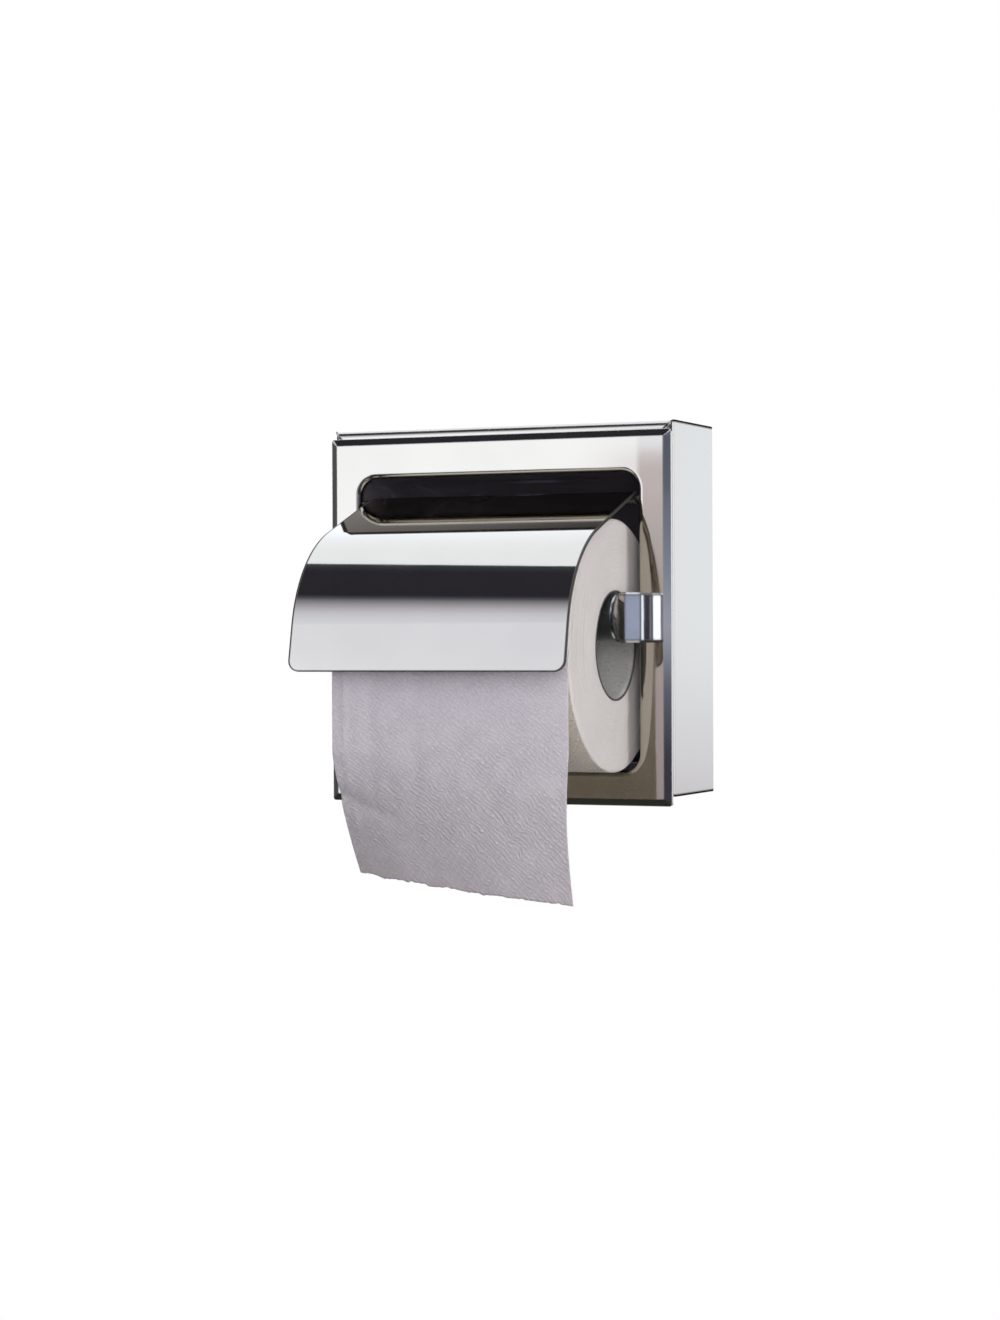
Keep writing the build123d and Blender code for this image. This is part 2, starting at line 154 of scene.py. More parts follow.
def diagonal(tree, across, up):
    """Length of the line that goes this far across and this far up."""
    squares = maths(tree, "ADD", maths(tree, "MULTIPLY", across, across), maths(tree, "MULTIPLY", up, up))
    return maths(tree, "SQRT", squares)


def bump(tree, height, strength, distance, normal=None):
    """Surface relief."""
    inputs = {"Height": height, "Strength": strength, "Distance": distance}
    if normal is not None:
        inputs["Normal"] = normal
    return node(tree, "ShaderNodeBump", inputs).outputs["Normal"]


def grey(value, tint=(1, 1, 1)):
    """Colour from a grey and a tint."""
    return tuple(value * part for part in tint) + (1.0,)


# Metals: wear, turns, and painted shade that darkens and dulls them; a level is a cosine between two normals

WORN_LEVEL = 0.85
FLAT_LEVEL = 0.999
BOX_EDGE_SHADE_WIDTH = 0.0014
RIM_WIDTH = 0.0009
RIM_DARK = 0.9
HOOD_CORNER = 0.0048
EDGE_LINE = 0.0018
EDGE_LEVEL = 0.975
EDGE_DARK = 0.85
SIDE_TURN = {"start": 0.0152, "bend": 0.0080, "end": 0.0029, "slope": 0.082}
TOP_TURN = {"start": 0.0281, "bend": 0.0061, "end": 0.0030, "slope": 0.036}
RECESS_FROM = 0.0025
RECESS_FULL = 0.006


def edge_wear(tree, radius, full=WORN_LEVEL):
    """Rounded normal at the edges, and how far each spot lies on an edge from 0 to 1."""
    rounded = node(tree, "ShaderNodeBevel", {"Radius": radius}, samples=4).outputs["Normal"]
    flat = node(tree, "ShaderNodeNewGeometry").outputs["Normal"]
    level = node(tree, "ShaderNodeVectorMath", {0: rounded, 1: flat}, operation="DOT_PRODUCT")
    return rounded, spread(tree, level.outputs["Value"], 1.0, 0.0, full, FLAT_LEVEL)


def box_edge_painted_shade(tree):
    """Painted shade: 1 along the box's edges where its side walls meet its top and bottom, 0 away from them.
    """
    spot = axes(tree, place(tree))
    box_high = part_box("mounting_box")[1]
    from_side = maths(tree, "SUBTRACT", box_high.x, maths(tree, "ABSOLUTE", spot["X"]))
    from_top = maths(tree, "SUBTRACT", box_high.z, maths(tree, "ABSOLUTE", spot["Z"]))
    return spread(tree, maths(tree, "MAXIMUM", from_side, from_top), 1.0, 0.0, BOX_EDGE_SHADE_WIDTH / 2, BOX_EDGE_SHADE_WIDTH)


def hood_rim(tree):
    """Painted shade: high along the hood's cut edges, round its corners as well, and 0 away from them."""
    spot = axes(tree, place(tree))
    hood_low, hood_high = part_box("hood")
    side = maths(tree, "SUBTRACT", maths(tree, "ABSOLUTE", spot["X"]), hood_high.x - HOOD_CORNER)
    foot = maths(tree, "SUBTRACT", hood_low.z + HOOD_CORNER, spot["Z"])
    out = diagonal(tree, maths(tree, "MAXIMUM", side, 0.0), maths(tree, "MAXIMUM", foot, 0.0))
    inside = maths(tree, "SUBTRACT", HOOD_CORNER, out)
    return spread(tree, inside, RIM_DARK, 0.0, RIM_WIDTH / 2, RIM_WIDTH)


def dark_edges(tree):
    """Painted shade: high along a cast piece's edges and 0 away from them."""
    return maths(tree, "MULTIPLY", edge_wear(tree, EDGE_LINE, EDGE_LEVEL)[1], EDGE_DARK)


def turned_edge(tree, out, edge, turn):
    """Height that falls towards an edge: it bends, keeps its slope after the bend, and ends level.

    The turn's places are measured in from the edge.
    """
    start, bend, end = (edge - turn[part] for part in ("start", "bend", "end"))
    bending = maths(tree, "SUBTRACT", within(tree, out, start, bend), start)
    sloping = maths(tree, "SUBTRACT", within(tree, out, bend, end), bend)
    bent = maths(tree, "DIVIDE", maths(tree, "MULTIPLY", bending, bending), 2 * (bend - start))
    return maths(tree, "MULTIPLY", maths(tree, "ADD", bent, sloping), -turn["slope"])


def margin_turn(tree):
    """Height that turns the plate's side margins outwards and its top margin up."""
    spot = axes(tree, place(tree))
    plate_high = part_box("front_pan")[1]
    sides = turned_edge(tree, maths(tree, "ABSOLUTE", spot["X"]), plate_high.x, SIDE_TURN)
    top = turned_edge(tree, spot["Z"], plate_high.z, TOP_TURN)
    return maths(tree, "ADD", sides, top)


def recess_painted_shade(tree):
    """1 on the pan's drawn recess, where painted shade makes its steel duller and purple-grey, and 0 on the
    plate.
    """
    spot = axes(tree, place(tree))
    plate_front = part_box("front_pan")[0].y
    return spread(tree, spot["Y"], 0.0, 1.0, plate_front + RECESS_FROM, plate_front + RECESS_FULL)


# Metals: the materials

STEEL = (0.50, 0.462, 0.390)
CHROME = (0.57, 0.55, 0.52)
PLAIN = (0.57, 0.56, 0.54)
SPINDLE = (0.55, 0.58, 0.55)
DARK_LINE = grey(0.02)
RECESS_SHADE_COLOUR = grey(0.36, (1.0, 0.92, 1.06))
RECESS_SHADE_DULLING = 0.22
SPECULAR = 0.5
SMUDGE_SCALE = 38.0
DARKER_TONE = 0.965
WORN_TONE = 1.08
WORN_SHARE = 0.5
WORN_ROUGHNESS = 0.08
LINE_DEPTH = 0.00002
FINE_X = {"stretch": (30, 2500, 2500), "rough": 0.02, "strength": 0.05}
FINE_Z = {"stretch": (1800, 1800, 25), "rough": 0.05, "strength": 0.08}
TURNED = {"stretch": (3000, 200, 200), "rough": 0.06, "strength": 0.15}
CAST = {"stretch": (900, 900, 900), "rough": 0.02, "strength": 0.06}
SHEET_WAVE = {"scale": 14.0, "strength": 0.10, "distance": 0.0006}
CAST_WAVE = {"scale": 120.0, "strength": 0.10, "distance": 0.0002}


def metal(name, tone, tint, gloss, grain, wave, edge, dark=None, shape=None, recess_shade=None):
    """Bare or plated metal with smudges, finish lines along an axis, slight waves and worn edges.

    Gloss is its lowest and highest roughness, and edge the radius of its worn edges. Dark gives where painted
    shade makes it dull and nearly black, shape a height that turns its surface, and the last argument where
    painted shade makes it duller and purple-grey.
    """
    tree = blank(name)
    smudge = cloud(tree, SMUDGE_SCALE, detail=5.0)
    lines = cloud(tree, 1.0, grain["stretch"], 2.0)
    line_rough = spread(tree, lines, 0.0, grain["rough"])
    rough = maths(tree, "ADD", spread(tree, smudge, *gloss), line_rough)
    rounded, wear = edge_wear(tree, edge)
    rough = maths(tree, "ADD", rough, maths(tree, "MULTIPLY", wear, WORN_ROUGHNESS))
    darker = grey(tone * DARKER_TONE, tint)
    shade = blend(tree, spread(tree, smudge, 0.0, 1.0), darker, grey(tone, tint))
    shade = blend(tree, maths(tree, "MULTIPLY", wear, WORN_SHARE), shade, grey(tone * WORN_TONE, tint))
    bare = 1.0
    shine = SPECULAR
    # Painted shade: the dark mask turns the metal dull and nearly black.
    if dark:
        dull = dark(tree)
        shade = blend(tree, dull, shade, DARK_LINE)
        bare = maths(tree, "SUBTRACT", bare, dull)
        shine = maths(tree, "MULTIPLY", bare, SPECULAR)
    # Painted shade: the recess mask turns the metal duller and purple-grey.
    if recess_shade:
        recess_shaded = recess_shade(tree)
        shade = blend(tree, recess_shaded, shade, RECESS_SHADE_COLOUR)
        bare = maths(tree, "SUBTRACT", bare, maths(tree, "MULTIPLY", recess_shaded, RECESS_SHADE_DULLING))
    if shape:
        rounded = bump(tree, shape(tree), 1.0, 1.0, rounded)
    waves = cloud(tree, wave["scale"], detail=1.0)
    relief = bump(tree, waves, wave["strength"], wave["distance"], rounded)
    relief = bump(tree, lines, grain["strength"], LINE_DEPTH, relief)
    shader = node(tree, "ShaderNodeBsdfPrincipled", {
        "Base Color": shade, "Metallic": bare, "Roughness": rough, "Normal": relief,
        "Specular IOR Level": shine,
    })
    output(tree, shader.outputs["BSDF"])


metal(
    "polished_steel", 1.0, STEEL, (0.030, 0.060), FINE_X, SHEET_WAVE, 0.0006,
    shape=margin_turn, recess_shade=recess_painted_shade,
)
# Painted shade: a dark line along the hood's cut edges.
metal("hood_steel", 1.0, STEEL, (0.030, 0.060), FINE_X, SHEET_WAVE, 0.0006, dark=hood_rim)
# Painted shade: the rod's steel is darkened for the shade it sits in.
metal("rod_steel_shaded", 0.25, PLAIN, (0.25, 0.40), TURNED, CAST_WAVE, 0.0002)
# Painted shade: a dark line along the box's top and bottom edges.
metal("box_steel", 1.0, STEEL, (0.10, 0.17), FINE_Z, SHEET_WAVE, 0.0006, dark=box_edge_painted_shade)
# Painted shade: dark lines along the cast posts' edges.
metal("cast_chrome", 1.0, CHROME, (0.045, 0.09), CAST, CAST_WAVE, 0.0005, dark=dark_edges)
metal("plain_steel", 0.9, PLAIN, (0.22, 0.34), TURNED, CAST_WAVE, 0.0002)
# Partly painted shade: the spindle's chrome is its finish, made darker and greener as it looks in the core's
# shade.
metal("spindle_chrome", 0.55, SPINDLE, (0.14, 0.24), TURNED, CAST_WAVE, 0.0003)


# Paper: its reliefs

DASH_TURN = radians(38)
DASH_ROW = 0.0016
DASH_LENGTH = 0.0026
DASH_WANDER = 0.0010
WANDER_SCALE = 160.0
GAP_HEIGHT = 0.2
STRENGTH_SCALE = 110.0
LEAST_STRENGTH = 0.6
UPPER_STRENGTH = 0.3
DASHES_FROM = 0.055
DASHES_FULL = 0.105
LAYER_PITCH = 0.0009
LAYER_WANDER = 0.0004
LAYER_WANDER_SCALE = 60.0


def waves_along(tree, value, length):
    """Sine wave of a length along a value."""
    return maths(tree, "SINE", maths(tree, "MULTIPLY", value, 2 * pi / length))


def diagonal_dashes(tree):
    """Fine broken lines that run down to the right, with the paper between them sunk in unevenly."""
    coordinates = node(tree, "ShaderNodeTexCoord").outputs["UV"]
    turned = node(tree, "ShaderNodeMapping", {"Vector": coordinates, "Rotation": (0, 0, DASH_TURN)})
    spot = axes(tree, turned.outputs["Vector"])
    drift = cloud(tree, WANDER_SCALE, detail=2.0, source="UV")
    wander = spread(tree, drift, -DASH_WANDER, DASH_WANDER)
    rows = waves_along(tree, maths(tree, "ADD", spot["Y"], wander), DASH_ROW)
    dots = waves_along(tree, spot["X"], DASH_LENGTH)
    broken = spread(tree, dots, GAP_HEIGHT, 1.0, -0.4, 0.6)
    raised = maths(tree, "MULTIPLY", maths(tree, "MAXIMUM", rows, 0.0), broken)
    patches = cloud(tree, STRENGTH_SCALE, source="UV")
    strength = spread(tree, patches, LEAST_STRENGTH, 1.0, 0.38, 0.62)
    run = maths(tree, "ABSOLUTE", axes(tree, coordinates)["Y"])
    lower = spread(tree, run, UPPER_STRENGTH, 1.0, DASHES_FROM, DASHES_FULL)
    between = maths(tree, "SUBTRACT", raised, 1.0)
    return maths(tree, "MULTIPLY", between, maths(tree, "MULTIPLY", strength, lower))


def wound_layers(tree):
    """Close rings of paper edges on the roll's ends."""
    spot = axes(tree, place(tree))
    along = maths(tree, "SUBTRACT", spot["Y"], ROLL_AXIS[0] * MM)
    up = maths(tree, "SUBTRACT", spot["Z"], ROLL_AXIS[1] * MM)
    wander = spread(tree, cloud(tree, LAYER_WANDER_SCALE), -LAYER_WANDER, LAYER_WANDER)
    return waves_along(tree, maths(tree, "ADD", diagonal(tree, along, up), wander), LAYER_PITCH)


# Paper: the materials

SHEET_TINT = (1.0, 0.960, 1.115)
END_TINT = (1.0, 0.943, 0.908)
SHADED_ROLL_TINT = (1.0, 0.92, 0.79)
THROUGH_TINT = (1.0, 0.93, 0.74)
SHEET_START = 0.030
FIBRE_SCALE = 750.0
MOTTLE_SCALE = 70.0
MOTTLED_TONE = 0.95
FLECK_GREY = 0.45
TROUGH_SHADE_GREY = 0.40
TROUGH_SHADE_FULL = -0.7
FIBRE_DEPTH = 0.00010
DASH_DEPTH = 0.00060
LAYER_DEPTH = 0.00005


def paper(name, tone, tint, relief_height, depth, source, light_through, fleck, trough_darkening=0.0, start=None):
    """Soft tissue: loose fibres, a pattern with painted shade in its troughs, and some light through.

    Start is the colour of its first stretch, where it still lies on the roll.
    """
    tree = blank(name)
    fibres = cloud(tree, FIBRE_SCALE, detail=5.0, source=source)
    relief = relief_height(tree)
    mottle = cloud(tree, MOTTLE_SCALE, source=source)
    shade = blend(tree, spread(tree, mottle, 0.0, 1.0), grey(tone * MOTTLED_TONE, tint), grey(tone, tint))
    if start:
        run = maths(tree, "ABSOLUTE", axes(tree, place(tree, source=source))["Y"])
        away = spread(tree, run, 0.0, 1.0, 0.0, SHEET_START)
        shade = blend(tree, away, start, shade)
        light_through = maths(tree, "MULTIPLY", away, light_through)
    flecks = spread(tree, fibres, 0.0, fleck, 0.40, 0.65)
    shade = blend(tree, flecks, shade, grey(FLECK_GREY, tint))
    # Painted shade in the pattern's troughs.
    trough_shade = spread(tree, relief, trough_darkening, 0.0, TROUGH_SHADE_FULL, 0.0)
    shade = blend(tree, trough_shade, shade, grey(TROUGH_SHADE_GREY, tint))
    normal = bump(tree, fibres, 0.5, FIBRE_DEPTH)
    normal = bump(tree, relief, 0.8, depth, normal)
    front = node(tree, "ShaderNodeBsdfPrincipled", {
        "Base Color": shade, "Roughness": 0.95, "Normal": normal,
        "Sheen Weight": 0.15, "Sheen Roughness": 0.6, "Specular IOR Level": 0.15,
    })
    through = node(tree, "ShaderNodeBsdfTranslucent", {"Color": grey(tone, THROUGH_TINT), "Normal": normal})
    output(tree, either(tree, light_through, front.outputs["BSDF"], through.outputs["BSDF"]))


# The sheet's first stretch takes the painted shade of the roll's outside.
paper(
    "sheet_paper", 0.86, SHEET_TINT, diagonal_dashes, DASH_DEPTH, "UV",
    light_through=0.30, fleck=0.32, trough_darkening=0.40, start=grey(0.56, SHADED_ROLL_TINT),
)
paper("roll_paper", 0.74, END_TINT, wound_layers, LAYER_DEPTH, "Object", light_through=0.03, fleck=0.10)
# Painted shade: the roll's outside is a darker, warmer copy of its paper, for the shade it lies in.
paper(
    "roll_outside_shaded", 0.64, SHADED_ROLL_TINT, diagonal_dashes, DASH_DEPTH, "UV",
    light_through=0.03, fleck=0.20, trough_darkening=0.40,
)


# Core board

BOARD_DARK = (0.46, 0.455, 0.43, 1)
BOARD_PALE = (0.58, 0.575, 0.55, 1)
BOARD_FLECK = (0.24, 0.21, 0.18, 1)
BOARD_CUT = (0.05, 0.045, 0.04, 1)
BOARD_GRAIN = (500, 2200, 2200)
BOARD_FLECK_SCALE = 700.0
BOARD_DEPTH = 0.00008
CUT_DEPTH = 0.0005
CUT_DARK = 0.9


def board(name):
    """Grey-brown core board: compacted fibres, flecks, and dark cut ends."""
    tree = blank(name)
    fibres = cloud(tree, 1.0, BOARD_GRAIN, 4.0)
    flecks = spread(tree, cloud(tree, BOARD_FLECK_SCALE, detail=2.0), 0.0, 0.5, 0.62, 0.72)
    shade = blend(tree, spread(tree, fibres, 0.0, 1.0), BOARD_DARK, BOARD_PALE)
    shade = blend(tree, flecks, shade, BOARD_FLECK)
    across = maths(tree, "SUBTRACT", axes(tree, place(tree))["X"], SHEET_MIDDLE * MM)
    from_middle = maths(tree, "ABSOLUTE", across)
    end = HALF_WIDTH * MM
    cut = spread(tree, from_middle, 0.0, CUT_DARK, end - 2 * CUT_DEPTH, end - CUT_DEPTH)
    shade = blend(tree, cut, shade, BOARD_CUT)
    normal = bump(tree, fibres, 0.5, BOARD_DEPTH)
    shader = node(tree, "ShaderNodeBsdfPrincipled", {
        "Base Color": shade, "Roughness": 0.9, "Normal": normal, "Specular IOR Level": 0.2,
    })
    output(tree, shader.outputs["BSDF"])


board("core_board")


# The hood is cut from thin sheet with painted shade as a dark line along its edges, and its rod is darkened
# as painted shade

DRESSED = {
    "hood": "hood_steel", "hinge_rod": "rod_steel_shaded",
    "left_rod_retainer": "rod_steel_shaded", "right_rod_retainer": "rod_steel_shaded",
}
for node_name, material_name in DRESSED.items():
    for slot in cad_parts[node_name].material_slots:
        slot.material = bpy.data.materials[material_name]


# Mesh helpers; meshes are made in millimetres

def add_object(name, data):
    """New object in the scene."""
    made = bpy.data.objects.new(name, data)
    bpy.context.scene.collection.objects.link(made)
    return made


def mesh_object(name, points, faces, material, smooth=True):
    """Object from points in millimetres."""
    mesh = bpy.data.meshes.new(name)
    mesh.from_pydata([Vector(point) * MM for point in points], [], faces)
    mesh.update()
    mesh.materials.append(bpy.data.materials[material])
    if smooth:
        mesh.polygons.foreach_set("use_smooth", [True] * len(mesh.polygons))
    return add_object(name, mesh)


def closed_rings(rows, count):
    """Faces between rows of points that each close on themselves, the last row joined to the first."""
    faces = []
    for row in range(rows):
        this = row * count
        after = (row + 1) % rows * count
        for step in range(count):
            beside = (step + 1) % count
            faces.append((this + step, this + beside, after + beside, after + step))
    return faces


def ring_point(x, radius, angle):
    """Point round the roll's axis."""
    return (x, ROLL_AXIS[0] + radius * cos(angle), ROLL_AXIS[1] + radius * sin(angle))


def uneven(x, y, z):
    """Smooth noise about 0 at a place."""
    return noise.noise(Vector((x, y, z)))


# Paper roll: wound layers that stand out unevenly at both ends, and a slightly slack outside

ROLL_SEGMENTS = 192
END_RINGS = 58
CORE_GAP = 0.05
OUTSIDE_INSET = 0.35
SLACK = 0.25
SLACK_LUMPS = 1.5
END_INSET = 0.35
LAYER_STEP = 0.16
LAYER_STEPS = 45.0
END_DRIFT = 0.16
DRIFT_LUMPS = 1.2
SOFT_EDGE = 0.9
SOFT_FROM = 0.955
inner_radius = CORE_OUTER + CORE_GAP


def roll_radius(end, share, turn):
    """Radius of a ring of the roll's end, by its share of the way out, with the outside's slack."""
    slack = SLACK * uneven(turn.x * SLACK_LUMPS, turn.y * SLACK_LUMPS, end * 3.0)
    return inner_radius + (ROLL_RADIUS - OUTSIDE_INSET + slack - inner_radius) * share


def end_inset(end, share, turn):
    """How far a spot on the roll's end lies inside the roll's width."""
    layer = LAYER_STEP * uneven(share * LAYER_STEPS, end * 9.0, 0.4 * turn.x)
    drift = END_DRIFT * uneven(turn.x * DRIFT_LUMPS, turn.y * DRIFT_LUMPS, share * 4.0 + end)
    soft_edge = SOFT_EDGE * max(0.0, (share - SOFT_FROM) / (1 - SOFT_FROM)) ** 2
    return END_INSET + layer + drift + soft_edge


roll_rows = []
for end in (1, -1):
    for ring in range(END_RINGS + 1):
        share = ring / END_RINGS if end == 1 else 1 - ring / END_RINGS
        roll_rows.append((end, share))
roll_points = []
for end, share in roll_rows:
    for step in range(ROLL_SEGMENTS):
        angle = 2 * pi * step / ROLL_SEGMENTS
        turn = Vector((cos(angle), sin(angle), 0))
        inset = end_inset(end, share, turn)
        x = ROLL_LEFT + inset if end == -1 else ROLL_LEFT + ROLL_WIDTH - inset
        roll_points.append(ring_point(x, roll_radius(end, share, turn), angle))
roll = mesh_object("paper_roll_wound", roll_points, closed_rings(len(roll_rows), ROLL_SEGMENTS), "roll_paper")
roll.data.materials.append(bpy.data.materials["roll_outside_shaded"])
roll_places = roll.data.uv_layers.new(name="flat")
for polygon in roll.data.polygons:
    row, step = divmod(polygon.index, ROLL_SEGMENTS)
    if row == END_RINGS:
        polygon.material_index = 1
        for loop, turn in zip(polygon.loop_indices, (step, step + 1, step + 1, step)):
            x = roll.data.vertices[roll.data.loops[loop].vertex_index].co.x
            roll_places.data[loop].uv = (x, turn * 2 * pi / ROLL_SEGMENTS * ROLL_RADIUS * MM)
    else:
        for loop in polygon.loop_indices:
            roll_places.data[loop].uv = (0, 0)
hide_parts("paper_roll")
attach(roll, "roll")


# Core: board wound in a spiral, so that the strip's edge makes a small step inside

CORE_SEGMENTS = 96
CORE_STEPS = 40
CORE_INSET = 0.2
STRIP_STEP = 0.30
SPIRAL_PITCH = 150.0
core_points = []
for inside in (True, False):
    for step in range(CORE_STEPS + 1):
        share = (step if inside else CORE_STEPS - step) / CORE_STEPS
        x = ROLL_LEFT + CORE_INSET + (ROLL_WIDTH - 2 * CORE_INSET) * share
        for segment in range(CORE_SEGMENTS + 1):
            turn = segment / CORE_SEGMENTS
            radius = CORE_INNER + STRIP_STEP * turn if inside else CORE_OUTER
            core_points.append(ring_point(x, radius, 2 * pi * (turn + x / SPIRAL_PITCH)))
core_faces = closed_rings(2 * (CORE_STEPS + 1), CORE_SEGMENTS + 1)
core = mesh_object("core_wound", core_points, core_faces, "core_board", smooth=False)
for polygon in core.data.polygons:
    polygon.use_smooth = (polygon.index % (CORE_SEGMENTS + 1)) != CORE_SEGMENTS
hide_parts("core_tube")
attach(core, "roll")


# Hanging sheet: round the roll, straight down, then curling back at its lower left, with a torn end

SHEET_RADIUS = 52.9
SHEET_WRAP = radians(35)
WRAP_RUN = SHEET_RADIUS * SHEET_WRAP
SHEET_STRAIGHT = 42.5
SHEET_FREE = 57.0
SHEET_LENGTH = WRAP_RUN + SHEET_STRAIGHT + SHEET_FREE
SHEET_THICKNESS = 0.16
LEFT_SWING = 26.0
MIDDLE_SWING = 9.0
RIGHT_SWING = 5.0
RIGHT_BOW = 3.0
END_TILT = radians(5.0)
RIPPLE = 0.25
RIPPLE_ACROSS = 0.05
RIPPLE_DOWN = 0.03
END_RIPPLE = 0.9
RIPPLE_RUN = 20.0
# The crease's ends are places across and up, and each fold has a middle across, a width and a depth
CREASE = ((-52.0, -75.5), (-22.0, -87.7))
CREASE_DEPTH = 1.5
CREASE_WIDTH = 2.6
CREASE_SHARE = 0.25
FOLDS = ((-46.5, 1.6, -0.45), (-35.0, 2.6, 0.40), (-15.0, 3.0, 0.35))
FOLD_RUN = 12.0
TOOTH_PITCH = 2.3
TOOTH = 0.15
TEAR = 1.1
FINE_RAG = 0.5
FINE_LUMPS = 0.45
WIDE_RAG = 1.1
WIDE_LUMPS = 0.12
TEAR_FROM = 0.9
SHEET_COLUMNS = 208
SHEET_ROWS = 104


def sheet_swing(across, fall):
    """How far the free end lies back from the sheet's front, across its width and down its length."""
    left = LEFT_SWING * fall**1.35
    middle = MIDDLE_SWING * fall**2
    right = RIGHT_SWING * fall**2 - RIGHT_BOW * sin(pi * fall)
    bow = (left + right) / 2 - middle
    return middle + (right - left) / 2 * across + bow * across**2


def crease_depth(u, z):
    """A soft fold along a line near the lower left corner."""
    (u0, z0), (u1, z1) = CREASE
    length = hypot(u1 - u0, z1 - z0)
    along = ((u - u0) * (u1 - u0) + (z - z0) * (z1 - z0)) / length
    away = ((u - u0) * (z1 - z0) - (z - z0) * (u1 - u0)) / length
    fade = max(0.0, 1 - (along / length) ** 2) if along > 0 else 1.0
    return CREASE_DEPTH * fade / (1 + (away / CREASE_WIDTH) ** 2)


def fold_depth(u, run):
    """Soft upright folds, most of them near the left edge, that fade out down the sheet."""
    fade = max(0.0, 1 - run / SHEET_LENGTH) ** 0.5
    return fade * sum(depth * exp(-(((u - middle) / width) ** 2)) for middle, width, depth in FOLDS)


def sheet_point(u, run):
    """Point of the sheet from its place across and its run down from the top edge."""
    if run <= WRAP_RUN:
        angle = SHEET_WRAP - run / SHEET_RADIUS
        y = ROLL_AXIS[0] - SHEET_RADIUS * cos(angle)
        return (SHEET_MIDDLE + u, y, ROLL_AXIS[1] + SHEET_RADIUS * sin(angle))
    hang = run - WRAP_RUN
    fall = (hang - SHEET_STRAIGHT) / SHEET_FREE
    y = ROLL_AXIS[0] - SHEET_RADIUS
    z = ROLL_AXIS[1] - hang
    ripple = uneven(u * RIPPLE_ACROSS, run * RIPPLE_DOWN, 2.0)
    if fall <= 0:
        ripple *= RIPPLE * min(1.0, hang / RIPPLE_RUN)
        folds = fold_depth(u, run) * min(1.0, hang / FOLD_RUN)
        return (SHEET_MIDDLE + u, y + ripple + folds, z)
    tilt = END_TILT * fall
    z -= u * sin(tilt)
    ripple *= RIPPLE + END_RIPPLE * fall
    creases = crease_depth(u, z) * min(1.0, fall / CREASE_SHARE) + fold_depth(u, run)
    return (SHEET_MIDDLE + u * cos(tilt), y + sheet_swing(u / HALF_WIDTH, fall) + ripple + creases, z)


def torn_end(u):
    """How much shorter the sheet is at a place across, with small teeth along the tear."""
    teeth = abs((u / TOOTH_PITCH) % 1.0 - 0.5) * TOOTH
    fine = FINE_RAG * uneven(u * FINE_LUMPS, 0.0, 5.0)
    wide = WIDE_RAG * uneven(u * WIDE_LUMPS, 0.0, 8.0)
    return TEAR + teeth + fine + wide


sheet_points = []
sheet_places = []
for row in range(SHEET_ROWS + 1):
    share = row / SHEET_ROWS
    tearing = max(0.0, (share - TEAR_FROM) / (1 - TEAR_FROM)) ** 3
    for column in range(SHEET_COLUMNS + 1):
        u = -HALF_WIDTH + ROLL_WIDTH * column / SHEET_COLUMNS
        run = SHEET_LENGTH * share - torn_end(u) * tearing
        sheet_points.append(sheet_point(u, run))
        sheet_places.append((u * MM, -run * MM))
sheet_faces = []
for row in range(SHEET_ROWS):
    for column in range(SHEET_COLUMNS):
        first = row * (SHEET_COLUMNS + 1) + column
        below = first + SHEET_COLUMNS + 1
        sheet_faces.append((first, first + 1, below + 1, below))
sheet = mesh_object("paper_sheet_torn", sheet_points, sheet_faces, "sheet_paper")
uv_layer = sheet.data.uv_layers.new(name="flat")
for loop in sheet.data.loops:
    uv_layer.data[loop.index].uv = sheet_places[loop.vertex_index]
thick = sheet.modifiers.new("thickness", "SOLIDIFY")
thick.thickness = SHEET_THICKNESS * MM
thick.offset = 0.0
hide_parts("paper_sheet")
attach(sheet, "holder")


# Spring: a copy of the CAD coil, which the spindle's inner half presses together; the copy moves with the
# outer half

spring = add_object("spindle_spring_coil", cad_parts["spindle_spring"].data.copy())
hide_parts("spindle_spring")
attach(spring, "spindle_outer_half")
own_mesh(spring)


# Studio, in metres: white all round, a pale floor, soft lamps, and cards that only reflections see

SURROUND = (0.94, 0.935, 0.93)
UNDO_STEEL = tuple(1 / part for part in STEEL)
UNSEEN = ("camera", "diffuse", "transmission", "volume_scatter", "shadow")
CARD_DISTANCE = 2.6
ARC_STEPS = 16


def seen_directly(tree):
    """1 for what the camera sees, also in a reflection or through a surface, and 0 for light on a surface."""
    path = node(tree, "ShaderNodeLightPath")
    seen = maths(tree, "MAXIMUM", path.outputs["Is Camera Ray"], path.outputs["Is Glossy Ray"])
    return maths(tree, "MAXIMUM", seen, path.outputs["Is Transmission Ray"])


def ramp(tree, value, stops):
    """Colour along a row of places, each with its colour."""
    low, high = stops[0][0], stops[-1][0]
    made = node(tree, "ShaderNodeValToRGB", {"Fac": spread(tree, value, 0.0, 1.0, low, high)})
    elements = made.color_ramp.elements
    while len(elements) < len(stops):
        elements.new(1.0)
    for element, (position, colour) in zip(elements, stops):
        element.position = (position - low) / (high - low)
        element.color = (*colour, 1.0)
    return made.outputs["Color"]


def stage_object(name, points, faces):
    """Object of the studio from points in metres, with the material of its own name."""
    made = mesh_object(name, [Vector(point) / MM for point in points], faces, name, smooth=False)
    return made


